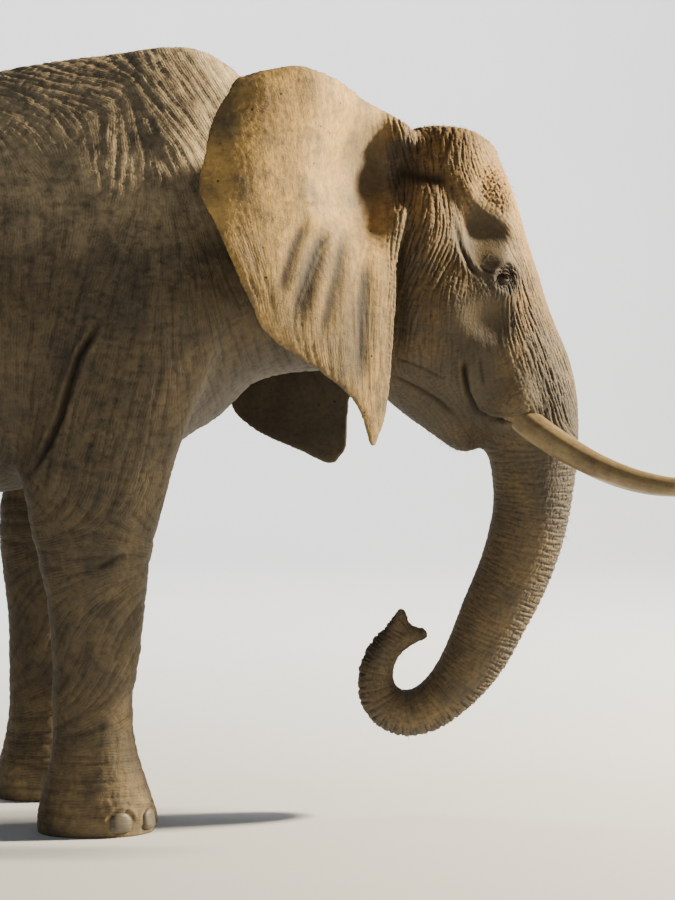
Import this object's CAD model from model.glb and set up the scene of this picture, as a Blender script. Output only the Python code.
"""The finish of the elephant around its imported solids: one wrinkled skin over the whole body, with eyes,
tusks, toenails and hair of their own, on a pale studio floor.

The skin repeats the solids' own forms: lofts, one voxel remesh, relaxed and given its landmarks. Finer ears
join it, and a second, finer remesh carries the wrinkles. These run along a field of directions that guide
lines set: noise is averaged along the lines of that field, and its valleys become the folds. The narrowest
folds follow the same field as waves in the material.
Metres. The forms are drawn in part.py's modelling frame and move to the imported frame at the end.
"""

import math
from contextlib import contextmanager

import bmesh
import bpy
import numpy as np
from mathutils import Matrix, Vector


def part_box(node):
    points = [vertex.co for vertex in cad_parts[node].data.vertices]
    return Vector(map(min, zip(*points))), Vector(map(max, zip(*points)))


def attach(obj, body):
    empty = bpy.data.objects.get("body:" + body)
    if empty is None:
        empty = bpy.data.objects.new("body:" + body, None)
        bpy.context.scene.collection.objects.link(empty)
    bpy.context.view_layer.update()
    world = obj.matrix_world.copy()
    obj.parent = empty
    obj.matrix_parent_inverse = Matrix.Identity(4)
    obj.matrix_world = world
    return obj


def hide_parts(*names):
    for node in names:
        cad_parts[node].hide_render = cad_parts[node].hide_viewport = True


MM = 0.001
X_AXIS, Y_AXIS, Z_AXIS = np.eye(3)
SEED = 7
BASE_VOXEL, SKIN_VOXEL = 17 * MM, 6.6 * MM
FINE_FROM = 0.80  # x beyond which the mesh of the head and trunk is twice as fine
RING_POINTS, FINGER_POINTS, TUSK_POINTS = 36, 16, 48
LOFT_STEP, FACE_STEP, TRUNK_STEP, FINGER_STEP, EAR_STEP = 0.04, 0.03, 0.03, 0.012, 0.02
EAR_POINTS, TUSK_RINGS = 33, 90
LATTICE_OFFSET, LATTICE_VALUES = 10000, 4096
LATTICE_PRIMES = np.array((73856093, 19349663, 83492791))

# ---------------------------------------------------------------- the forms, as in the solids

# along x: back, belly, half width, height of the widest level
TORSO = (
    (-2.00, 1.84, 1.58, 0.10, 1.71),
    (-1.96, 1.96, 1.36, 0.22, 1.66),
    (-1.89, 2.06, 1.20, 0.32, 1.62),
    (-1.78, 2.17, 1.12, 0.39, 1.58),
    (-1.60, 2.29, 1.06, 0.45, 1.54),
    (-1.40, 2.335, 1.005, 0.495, 1.50),
    (-1.15, 2.305, 0.965, 0.54, 1.45),
    (-0.85, 2.265, 0.955, 0.565, 1.44),
    (-0.50, 2.29, 0.985, 0.55, 1.45),
    (-0.20, 2.345, 1.025, 0.505, 1.48),
    (0.05, 2.38, 1.075, 0.455, 1.51),
    (0.22, 2.405, 1.15, 0.41, 1.55),
    (0.33, 2.39, 1.235, 0.37, 1.60),
    (0.46, 2.29, 1.345, 0.325, 1.66),
    (0.60, 2.20, 1.38, 0.295, 1.70),
    (0.80, 2.12, 1.38, 0.265, 1.74),
    (1.00, 2.06, 1.36, 0.24, 1.76),
)
BACK_POWER, BELLY_POWER = 1.7, 2.2

# down the face: height, middle, reach forward, reach back, half width
FACE = (
    (2.150, 1.06, 0.04, 0.07, 0.06),
    (2.125, 1.06, 0.11, 0.15, 0.15),
    (2.03, 1.03, 0.21, 0.20, 0.225),
    (1.92, 1.02, 0.266, 0.22, 0.265),
    (1.80, 1.00, 0.321, 0.22, 0.285),
    (1.67, 0.99, 0.374, 0.22, 0.30),
    (1.51, 0.98, 0.43, 0.22, 0.285),
    (1.39, 1.15, 0.3075, 0.25, 0.235),
    (1.295, 1.25, 0.2325, 0.15, 0.20),
    (1.22, 1.315, 0.17, 0.12, 0.18),
)
FACE_POWER = 2.25

# along the trunk: x, z, half thickness, half width
TRUNK = (
    (1.343, 1.14, 0.1435, 0.155),
    (1.345, 1.06, 0.133, 0.145),
    (1.342, 0.98, 0.125, 0.138),
    (1.3045, 0.81, 0.118, 0.128),
    (1.214, 0.60, 0.109, 0.118),
    (1.165, 0.495, 0.101, 0.110),
    (1.083, 0.383, 0.084, 0.098),
    (1.005, 0.322, 0.077, 0.090),
    (0.930, 0.308, 0.073, 0.082),
    (0.868, 0.345, 0.066, 0.072),
    (0.846, 0.410, 0.060, 0.063),
    (0.860, 0.478, 0.056, 0.058),
    (0.892, 0.540, 0.050, 0.052),
)
UPPER_FINGER = ((0.888, 0.545, 0.034, 0.038), (0.916, 0.600, 0.027, 0.030), (0.944, 0.645, 0.024, 0.028))
LOWER_FINGER = ((0.905, 0.520, 0.034, 0.038), (0.966, 0.554, 0.032, 0.035), (1.022, 0.570, 0.028, 0.031))

# from the angle of the jaw to the chin: x, z, half thickness, half width
JAW = (
    (0.86, 1.58, 0.19, 0.25),
    (0.93, 1.49, 0.185, 0.235),
    (1.00, 1.365, 0.138, 0.185),
    (1.06, 1.275, 0.102, 0.13),
    (1.105, 1.205, 0.070, 0.088),
    (1.135, 1.155, 0.044, 0.055),
    (1.148, 1.128, 0.020, 0.026),
)

# up the leg: height, middle x, reach forward, reach back, y, half width
FORELEG = (
    (-0.06, -0.010, 0.180, 0.170, 0.335, 0.158),
    (0.04, -0.010, 0.186, 0.176, 0.335, 0.166),
    (0.11, -0.010, 0.176, 0.162, 0.335, 0.162),
    (0.20, -0.010, 0.145, 0.138, 0.335, 0.140),
    (0.30, -0.010, 0.124, 0.126, 0.335, 0.125),
    (0.42, -0.010, 0.125, 0.128, 0.335, 0.122),
    (0.55, -0.010, 0.147, 0.127, 0.337, 0.126),
    (0.70, -0.010, 0.162, 0.142, 0.340, 0.134),
    (0.83, -0.010, 0.178, 0.168, 0.343, 0.145),
    (0.95, -0.010, 0.208, 0.196, 0.345, 0.156),
    (1.03, -0.008, 0.228, 0.202, 0.347, 0.163),
    (1.15, 0.000, 0.255, 0.220, 0.350, 0.168),
    (1.35, 0.035, 0.295, 0.285, 0.350, 0.168),
    (1.60, 0.080, 0.330, 0.300, 0.330, 0.165),
    (1.88, 0.145, 0.245, 0.195, 0.260, 0.145),
    (2.12, 0.200, 0.170, 0.150, 0.175, 0.105),
    (2.28, 0.230, 0.100, 0.100, 0.095, 0.060),
)
HINDLEG = (
    (-0.06, 0.000, 0.165, 0.155, 0.290, 0.140),
    (0.04, 0.000, 0.172, 0.162, 0.290, 0.148),
    (0.11, 0.000, 0.162, 0.155, 0.290, 0.146),
    (0.20, 0.000, 0.136, 0.138, 0.290, 0.128),
    (0.32, 0.000, 0.115, 0.122, 0.291, 0.116),
    (0.45, 0.000, 0.118, 0.124, 0.293, 0.118),
    (0.60, 0.005, 0.137, 0.137, 0.295, 0.130),
    (0.75, 0.015, 0.170, 0.160, 0.298, 0.148),
    (0.90, 0.030, 0.215, 0.195, 0.300, 0.168),
    (1.05, 0.045, 0.270, 0.235, 0.302, 0.185),
    (1.25, 0.060, 0.335, 0.295, 0.305, 0.195),
    (1.50, 0.060, 0.370, 0.330, 0.300, 0.195),
    (1.75, 0.060, 0.330, 0.290, 0.280, 0.180),
    (2.00, 0.070, 0.240, 0.190, 0.230, 0.145),
    (2.20, 0.080, 0.120, 0.100, 0.170, 0.080),
)
LEG_POWER = 2.15
# x of each foot, and of its leg above LEAN_TOP; up to LEAN_FROM it stands straight
STEPS = {
    ("fore", "right"): (0.0, 0.0),
    ("fore", "left"): (-0.20, 0.0),
    ("hind", "right"): (-1.78, -1.68),
    ("hind", "left"): (-1.56, -1.68),
}
LEAN_FROM, LEAN_TOP = 0.70, 1.55
SIDES = {"right": -1, "left": 1}

# toenails: the angles they stand at round the front of a foot
NAILS = {"fore": (-60, -21, 17, 53), "hind": (-44, 0, 44)}
NAIL_HEIGHT, NAIL_HALF_HEIGHT, NAIL_HALF_WIDTH = 0.045, 0.031, 0.036
NAIL_ROOT, NAIL_PROUD = 0.020, 0.009
NAIL_SQUARE = 0.45  # how square their lower corners are; 1 would be round
CUTICLE, NAIL_GROOVE, CUTICLE_TOP = 4 * MM, 3 * MM, 0.16

# along the tail: x, z, radius
TAIL = (
    (-1.88, 2.03, 0.072),
    (-1.98, 1.985, 0.062),
    (-2.06, 1.89, 0.050),
    (-2.110, 1.75, 0.043),
    (-2.136, 1.56, 0.037),
    (-2.145, 1.36, 0.031),
    (-2.140, 1.16, 0.024),
    (-2.135, 1.03, 0.020),
)
# down the ear: height, back edge, front edge
RIGHT_EAR = (
    (2.303, 0.592, 0.632),
    (2.280, 0.484, 0.705),
    (2.213, 0.407, 0.823),
    (2.14, 0.366, 0.955),
    (2.04, 0.344, 0.955),
    (1.93, 0.326, 0.950),
    (1.84, 0.371, 0.935),
    (1.747, 0.413, 0.914),
    (1.62, 0.468, 0.908),
    (1.50, 0.533, 0.900),
    (1.40, 0.675, 0.893),
    (1.316, 0.772, 0.885),
    (1.23, 0.812, 0.868),
    (1.17, 0.828, 0.845),
)
# the left one hangs lower and further back
LEFT_EAR = RIGHT_EAR[:6] + (
    (1.84, 0.330, 0.935),
    (1.747, 0.345, 0.915),
    (1.62, 0.352, 0.875),
    (1.50, 0.355, 0.840),
    (1.40, 0.358, 0.805),
    (1.30, 0.370, 0.775),
    (1.22, 0.400, 0.765),
    (1.16, 0.488, 0.765),
    (1.115, 0.596, 0.757),
    (1.070, 0.692, 0.722),
)
# across the ear: x, distance of its middle from the midplane
EAR_PLANE = (
    (0.30, 0.690),
    (0.42, 0.655),
    (0.55, 0.590),
    (0.66, 0.515),
    (0.76, 0.435),
    (0.86, 0.355),
    (0.96, 0.285),
)
EAR_UPRIGHT, EAR_LEAN = 1.82, 0.32  # the height of its furthest point out, and how it curves in from there
ROOT_LEAN = 1.5  # how it curves in above that height along the side of the head
ROOT_SINK = 0.075  # how far its front edge then goes under the skin of the head
EAR_CLEAR = 0.03  # how much further out it hangs below its root
EAR_HOLLOW = (0.80, 1.99, 0.17, 0.26, 0.15)  # the hollow before its root: x, z, reach in x and z, depth
EAR_RIM, EAR_BLADE, EAR_ROOT = 0.013, 0.026, 0.066

TUSK_DROOP = {"right": 0.0, "left": 0.04}  # how much lower each one's end hangs
TUSK_GROOVES, TUSK_RIPPLE = 0.012, 0.008  # depth of its long and fine grooves, in radii
# along the tusk: x, distance from the midplane, z, radius
TUSK = (
    (1.20, 0.125, 1.345, 0.040),
    (1.313, 0.165, 1.234, 0.0445),
    (1.42, 0.205, 1.160, 0.0415),
    (1.531, 0.237, 1.100, 0.037),
    (1.65, 0.262, 1.058, 0.033),
    (1.76, 0.275, 1.040, 0.029),
    (1.90, 0.270, 1.046, 0.021),
    (2.00, 0.255, 1.070, 0.013),
    (2.06, 0.243, 1.095, 0.004),
)

EYE_AT = (1.236, 0.2185, 1.674)
EYE_RADIUS = 0.021

# ---------------------------------------------------------------- more sizes

# where the ear's root flows into the nape, and how many rounds it is relaxed for
EAR_ROOT_AT, EAR_ROOT_REACH, EAR_ROOT_ROUNDS = (0.955, 0.19, 2.08), (0.09, 0.12, 0.14), 40
EYE_SPLITS = (0.060, 0.042)  # how far round the eyes the faces are divided once, and once more
EAR_CURL = 0.030  # how far the upper back rim of the ear turns in

LID_HALF_LENGTH, LID_UPPER, LID_LOWER = 0.0215, 0.0125, 0.0105
LID_THICK, LID_EDGE, EYE_DEPTH = 3 * MM, 1.2 * MM, 4 * MM
SUNK = 0.45  # how far out the skin between the lids stays, in radii of the eyeball
# how far round the eye the hide gives its direction, how far it is shaped, and how far behind the middle
EYE_HIDE, LID_HIDE, LID_BEHIND = 0.045, 0.090, 0.020
# folds round the opening: distance from it, width, depth above and below
LID_FOLDS = (
    (0.0090, 0.0026, 0.0046, 0.0026),
    (0.0190, 0.0032, 0.0046, 0.0014),
    (0.0300, 0.0036, 0.0036, 0.0010),
)
# how far round the eyeball's middle the hide is darkest, and dark at all, and how dark
SOCKET_REACH, SOCKET_SHADE = (0.034, 0.085), 0.85
BROW_REACH, BROW_WIDTH, BROW_ABOVE, BROW_BELOW = 0.048, 0.016, 0.0075, 0.0030
IRIS_RADIUS, PUPIL_RADIUS, CORNEA = 0.0125, 0.0050, 0.0018

FOOT_ROUND = 0.16  # radius of the front of a foot
TAIL_HAIR_TOP, TAIL_END, TAIL_HAIR_LOW = 1.22, 1.035, 0.70
TAIL_HAIRS, BRISTLES, LASHES = 900, 3200, 34  # the last for each eye
BRISTLE_LIE = np.array((-0.5, 0, -0.6))  # the way bristles lie over
CHIN_AT, CHIN_REACH = (1.09, 0.0, 1.18), 0.14
PATCH = 0.003  # size of a hair's patch on the unwrap

FOLD_SIZES = (11 * MM, 5.5 * MM)  # lattice of the noise behind the wider and the narrower folds
FOLD_ROUNDS, CROSS_ROUNDS = 18, 5
WIDE_EVENED, NARROW_EVENED = 10, 5  # rounds over which each size of fold is made equally strong everywhere
NARROW_SHARE = 0.65  # how much of the depth the narrower folds have where the mesh is fine
# how high the swells rise, and how far below their mean a fold begins and is deepest
SWELL, VALLEY = 0.35, (0.15, 1.7)
CREASE_DEPTH, NAMED_DEPTH = 3.8 * MM, 5 * MM  # how deep a fold is darkest, and one of CREASES
LIP_HEIGHT, LIP_AWAY = 0.22, 2.2  # of the lips beside one of CREASES, in its depths and widths
STRONG_FOLDS = 2.4 * MM  # the depth of the folds where the material's own are strongest
SLACK_WIDTH, SLACK_ROUNDS, SLACK_EVENED = 0.045, 10, 12
ACROSS_SENSE = (0.7, 0.0, -0.7)
# hand-wide slack folds: x, |y|, z, reach, millimetres
SLACK = (
    (-0.75, 0.50, 1.50, 0.80, 3.0),
    (-1.30, 0.45, 1.25, 0.40, 7.0),
    (-1.75, 0.30, 1.40, 0.60, 5.0),
    (0.65, 0.20, 1.75, 0.50, 7.0),
    (0.20, 0.40, 1.90, 0.45, 2.0),
    (-0.12, 0.45, 1.25, 0.30, 5.0),
    (0.00, 0.35, 0.60, 0.50, 3.0),
    (-1.65, 0.30, 0.60, 0.50, 4.0),
)

# how much dust lies everywhere, on what faces up, on the forehead, on the front of the face
DUST_BASE, DUST_UP, DUST_FOREHEAD, DUST_FACE = 0.12, 0.20, 0.40, 0.22
# and on the feet and the ears' outer sides, and how much less where the hide faces down
DUST_FEET, DUST_EARS, DUST_UNDER = 0.10, 0.75, 0.20
FOREHEAD_AT, FOREHEAD_REACH = (1.22, 0.0, 1.95), (0.26, 0.22, 0.42)
# where the dust is thin on the ear: x, z, reach in x and z, how much is missing
EAR_STAINS = (
    (0.840, 1.980, 0.160, 0.280, 0.80),
    (0.780, 1.560, 0.100, 0.260, 0.40),
    (0.640, 1.690, 0.070, 0.160, 0.35),
    (0.400, 2.130, 0.080, 0.140, 0.60),
    (0.480, 1.820, 0.090, 0.160, 0.25),
    (0.880, 1.500, 0.050, 0.400, 0.20),
    (0.660, 1.400, 0.400, 0.420, 0.50),
    (0.600, 1.700, 0.260, 0.260, 0.20),
)
# and on the head
HEAD_STAINS = (
    (1.175, 1.775, 0.110, 0.150, 0.60),
    (1.165, 1.545, 0.140, 0.130, 0.90),
    (1.360, 1.450, 0.140, 0.260, 0.20),
    (1.440, 1.150, 0.160, 0.400, 0.25),
    (1.236, 1.674, 0.100, 0.100, 0.45),
    (0.910, 2.000, 0.120, 0.160, 0.50),
    (1.120, 1.350, 0.160, 0.160, 0.25),
)

GREY_HIDE = (0.036, 0.033, 0.030, 1)
BROWN_HIDE = (0.062, 0.051, 0.040, 1)
PALE_HIDE = (0.520, 0.420, 0.300, 1)
DARK_HIDE = (0.024, 0.018, 0.013, 1)
DUST = (0.640, 0.410, 0.130, 1)
CREASE_HIDE = (0.017, 0.012, 0.009, 1)
TAN = (0.97, 0.82, 0.57, 1)
IVORY, STAINED_IVORY, CRACKED_IVORY = (0.26, 0.19, 0.09, 1), (0.12, 0.078, 0.036, 1), (0.04, 0.026, 0.014, 1)
NAIL_PALE, NAIL_DARK = (0.140, 0.112, 0.078, 1), (0.070, 0.056, 0.042, 1)
HAIR_DARK, HAIR_BROWN = (0.012, 0.010, 0.009, 1), (0.035, 0.026, 0.020, 1)
IRIS_DARK, IRIS_LIGHT = (0.030, 0.014, 0.007, 1), (0.090, 0.042, 0.016, 1)
PUPIL, EYE_WHITE = (0.002, 0.002, 0.002, 1), (0.035, 0.022, 0.016, 1)
FLOOR_DARK, FLOOR_PALE = (0.58, 0.60, 0.63, 1), (0.65, 0.67, 0.70, 1)
SKY, SKY_STRENGTH = (0.84, 0.92, 1.0, 1), 0.14

CAMERA_AT, LENS, SENSOR = (0.731, -10.0, 1.67), 128, 36
CAMERA_TILT = math.atan(0.053125)
FLOOR_NEAR, FLOOR_FAR, FLOOR_HALF, SWEEP = -16, 9, 24, 5  # y of its ends, half width, radius of the sweep
# name, place, aim, width, power, colour
LIGHTS = (
    ("key", (8.7, 1.5, 5.0), (0.6, -0.2, 1.5), 0.9, 4300, (1.0, 0.86, 0.60)),
    ("fill", (-3.0, -9.5, 4.5), (0.2, 0.0, 1.3), 5.0, 60, (0.84, 0.92, 1.0)),
    ("backdrop", (0.0, 5.0, 9.0), (0.0, 14.0, 3.0), 6.0, 2600, (1.0, 1.0, 1.0)),
)

FLESH = ["torso", "neck", "head", "jaw", "tail"]
FLESH += [f"trunk_{length}" for length in ("upper", "middle", "lower", "curl", "tip")]
FLESH += [f"{part}_{side}" for side in ("right", "left") for part in
          ("ear", "foreleg", "forefoot", "hindleg", "hindfoot")]

# ---------------------------------------------------------------- curves and lofts


def spline(rows, at):
    """Rows of (parameter, values...) read at `at`, as a cubic through every row."""
    rows = np.asarray(rows, float)
    knots, values = rows[:, 0], rows[:, 1:]
    steps = np.diff(knots)[:, None]
    slopes = np.diff(values, axis=0) / steps
    tangents = np.empty_like(values)
    tangents[0], tangents[-1] = slopes[0], slopes[-1]
    tangents[1:-1] = (slopes[:-1] * steps[1:] + slopes[1:] * steps[:-1]) / (steps[:-1] + steps[1:])
    at = np.clip(np.asarray(at, float), knots[0], knots[-1])
    span = np.clip(np.searchsorted(knots, at, side="right") - 1, 0, len(knots) - 2)
    width = steps[span]
    t = ((at - knots[span]) / (knots[span + 1] - knots[span]))[:, None]
    return (
        (2 * t**3 - 3 * t**2 + 1) * values[span]
        + (t**3 - 2 * t**2 + t) * width * tangents[span]
        + (3 * t**2 - 2 * t**3) * values[span + 1]
        + (t**3 - t**2) * width * tangents[span + 1]
    )


def spaced(rows, step):
    """Rows of (x, z, sizes...) as a smooth run, one row for about every `step` of the way along."""
    rows = np.asarray(rows, float)
    reach = np.concatenate([[0], np.cumsum(np.linalg.norm(np.diff(rows[:, :2], axis=0), axis=1))])
    at = np.linspace(0, reach[-1], max(2, int(reach[-1] / step) + 1))
    return spline(np.column_stack([reach, rows]), at)


def stations(rows, step):
    """Rows of (parameter, values...) as a smooth run, one row for about every `step` of the parameter."""
    rows = np.asarray(rows, float)
    rows = rows[np.argsort(rows[:, 0])]
    at = np.linspace(rows[0, 0], rows[-1, 0], max(2, int((rows[-1, 0] - rows[0, 0]) / step) + 1))
    return np.column_stack([at, spline(rows, at)])


def ease(value, low, high):
    """0 below `low`, 1 above `high`, and a smooth step between."""
    t = np.clip((value - low) / (high - low), 0, 1)
    return t * t * (3 - 2 * t)


def ring(centre, up, side, rise, fall, half_width, upper=2.0, lower=2.0, count=RING_POINTS):
    """A closed section: `rise` from the centre along `up`, `fall` below, `half_width` to each side."""
    angle = 2 * math.pi * np.arange(count) / count
    cosine, sine = np.cos(angle), np.sin(angle)
    power = np.where(cosine > 0, upper, lower)
    along = np.sign(cosine) * np.abs(cosine) ** (2 / power) * np.where(cosine > 0, rise, fall)
    across = np.sign(sine) * np.abs(sine) ** (2 / power) * half_width
    return np.asarray(centre, float) + np.outer(along, up) + np.outer(across, side)


def loft(rings):
    """(points, faces) of a closed skin over sections that all have the same number of points."""
    rings = np.asarray(rings)
    layers, count = rings.shape[:2]
    faces = [
        (k * count + i, k * count + (i + 1) % count, (k + 1) * count + (i + 1) % count, (k + 1) * count + i)
        for k in range(layers - 1)
        for i in range(count)
    ]
    faces.append(tuple(range(count - 1, -1, -1)))
    faces.append(tuple(range((layers - 1) * count, layers * count)))
    return rings.reshape(-1, 3), faces


def tube(rows, step=TRUNK_STEP, count=RING_POINTS):
    """Sections in the midplane along rows of (x, z, half thickness, half width)."""
    rows = spaced(rows, step)
    directions = np.gradient(rows[:, :2], axis=0)
    directions /= np.linalg.norm(directions, axis=1)[:, None]
    return [
        ring((x, 0, z), (-dz, 0, dx), Y_AXIS, thick, thick, wide, count=count)
        for (x, z, thick, wide), (dx, dz) in zip(rows, directions)
    ]


def torso():
    return loft([
        ring((x, 0, level), Z_AXIS, Y_AXIS, back - level, level - belly, width, BACK_POWER, BELLY_POWER)
        for x, back, belly, width, level in stations(TORSO, LOFT_STEP)
    ])


def face_and_trunk():
    """The face from the crown down, and the trunk to its tip, as one loft."""
    face = [
        ring((x, 0, z), X_AXIS, Y_AXIS, front, back, width, FACE_POWER, FACE_POWER)
        for z, x, front, back, width in stations(FACE, FACE_STEP)[::-1]
    ]
    return loft(face + tube(TRUNK))


def jaw():
    return loft(tube(JAW))


def finger(rows):
    return loft(tube(rows, FINGER_STEP, FINGER_POINTS))


def leg_section(limb, side, height):
    """(middle x, reach forward, reach back, y, half width) of a leg at a height, leaning to its own foot."""
    rows = FORELEG if limb == "fore" else HINDLEG
    x, front, back, y, width = spline(rows, [height])[0]
    step, hip = STEPS[limb, side]
    return x + step + (hip - step) * ease(height, LEAN_FROM, LEAN_TOP), front, back, SIDES[side] * y, width


def leg(limb, side):
    rows = FORELEG if limb == "fore" else HINDLEG
    rings = []
    for z in stations(rows, LOFT_STEP)[:, 0]:
        x, front, back, y, width = leg_section(limb, side, z)
        rings.append(ring((x, y, z), X_AXIS, Y_AXIS, front, back, width, LEG_POWER, LEG_POWER))
    return loft(rings)


def tail():
    return loft(tube([(x, z, r, r) for x, z, r in TAIL], count=FINGER_POINTS))


def all_lofts():
    """Every form but the ears, each a closed loft."""
    return [
        torso(),
        face_and_trunk(),
        finger(UPPER_FINGER),
        finger(LOWER_FINGER),
        jaw(),
        *(leg(limb, side) for limb, side in STEPS),
        tail(),
    ]


# ---------------------------------------------------------------- relief

# where parts flow together and are relaxed most: x, |y|, z, radius
SOFT_PLACES = (
    (0.10, 0.30, 1.75, 0.55),
    (0.05, 0.30, 1.25, 0.42),
    (0.25, 0.10, 2.25, 0.35),
    (0.50, 0.10, 1.75, 0.50),
    (0.85, 0.15, 1.85, 0.40),
    (0.95, 0.15, 1.40, 0.33),
    (-1.65, 0.30, 1.60, 0.65),
    (-1.55, 0.25, 1.10, 0.38),
    (-1.90, 0.05, 2.02, 0.14),
    (1.15, 0.12, 1.30, 0.16),
)
RELAX_ROUNDS, LEAST_RELAX = 36, 0.10

# raised (+) or hollowed (-) along the surface: x, |y|, z, reach in x, y and z, height
LANDMARKS = (
    (-1.42, 0.40, 2.02, 0.17, 0.20, 0.17, 0.030),  # hip bone
    (-1.13, 0.48, 1.95, 0.24, 0.30, 0.20, -0.034),  # hollow of the flank
    (-1.86, 0.22, 1.90, 0.14, 0.20, 0.20, 0.018),  # seat bone
    (-1.33, 0.45, 1.28, 0.16, 0.30, 0.28, -0.030),  # groin
    (-1.62, 0.45, 1.42, 0.28, 0.30, 0.36, 0.020),  # thigh
    (0.02, 0.42, 1.92, 0.16, 0.30, 0.34, 0.020),  # shoulder blade
    (-0.24, 0.46, 1.85, 0.16, 0.30, 0.36, -0.022),  # hollow behind it
    (0.24, 0.40, 1.62, 0.18, 0.30, 0.20, 0.022),  # point of the shoulder
    (-0.17, 0.42, 1.08, 0.13, 0.20, 0.12, 0.022),  # elbow
    (0.33, 0.00, 1.30, 0.16, 0.16, 0.14, 0.018),  # breast
    (1.165, 0.25, 1.83, 0.11, 0.16, 0.13, -0.046),  # temple
    (1.235, 0.14, 1.93, 0.09, 0.10, 0.14, 0.016),  # edge of the brow above it
    (1.10, 0.13, 2.10, 0.12, 0.09, 0.08, 0.014),  # dome of the head, one on each side
    (0.985, 0.28, 1.82, 0.11, 0.16, 0.22, 0.036),  # root of the ear
    (0.885, 0.25, 1.98, 0.08, 0.16, 0.17, -0.035),  # hollow behind it
    (0.900, 0.27, 1.58, 0.06, 0.14, 0.24, -0.028),  # groove behind the cheek
    (1.03, 0.30, 1.60, 0.14, 0.16, 0.12, 0.020),  # cheekbone
    (1.225, 0.24, 1.735, 0.07, 0.10, 0.05, 0.016),  # brow over the eye
    (1.195, 0.25, 1.545, 0.10, 0.14, 0.09, -0.022),  # hollow under the eye
    (0.93, 0.24, 1.43, 0.13, 0.16, 0.13, 0.018),  # angle of the jaw
    (1.275, 0.17, 1.300, 0.10, 0.12, 0.11, 0.030),  # sheath of the tusk
    (1.42, 0.00, 1.45, 0.12, 0.12, 0.22, 0.012),  # root of the trunk
)


def relax(points, edges, weights, rounds):
    """Points drawn towards the mean of their neighbours, each by its own weight."""
    starts, ends = edges[:, 0], edges[:, 1]
    counts = np.bincount(np.concatenate([starts, ends]), minlength=len(points))[:, None]
    for _ in range(rounds):
        sums = np.zeros_like(points)
        for axis in range(3):
            sums[:, axis] = np.bincount(starts, points[ends, axis], len(points))
            sums[:, axis] += np.bincount(ends, points[starts, axis], len(points))
        points = points + weights[:, None] * (sums / counts - points)
    return points


def bump(distance):
    """A smooth hump of height 1 at distance 0, gone at distance 1."""
    return np.clip(1 - distance**2, 0, None) ** 2


def folded(points):
    """The points with those of the left side laid onto the right: |y| for y."""
    return points * (1, 0, 1) + np.abs(points) * (0, 1, 0)


def apart(points, place, reach=1.0):
    """How far each point lies from a place on its own side, in units of the reach."""
    return np.linalg.norm((folded(points) - place) / reach, axis=1)


def softness(points):
    """How readily each point is drawn to its neighbours."""
    weight = np.zeros(len(points))
    for *place, radius in SOFT_PLACES:
        weight = np.maximum(weight, bump(apart(points, place, radius)))
    return LEAST_RELAX + (0.5 - LEAST_RELAX) * np.sqrt(weight)


def relief(points):
    """The height of every landmark together at each point."""
    height = np.zeros(len(points))
    for *place, reach_x, reach_y, reach_z, rise in LANDMARKS:
        height += rise * bump(apart(points, place, (reach_x, reach_y, reach_z)))
    return height


# ---------------------------------------------------------------- where and how the skin folds

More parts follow.
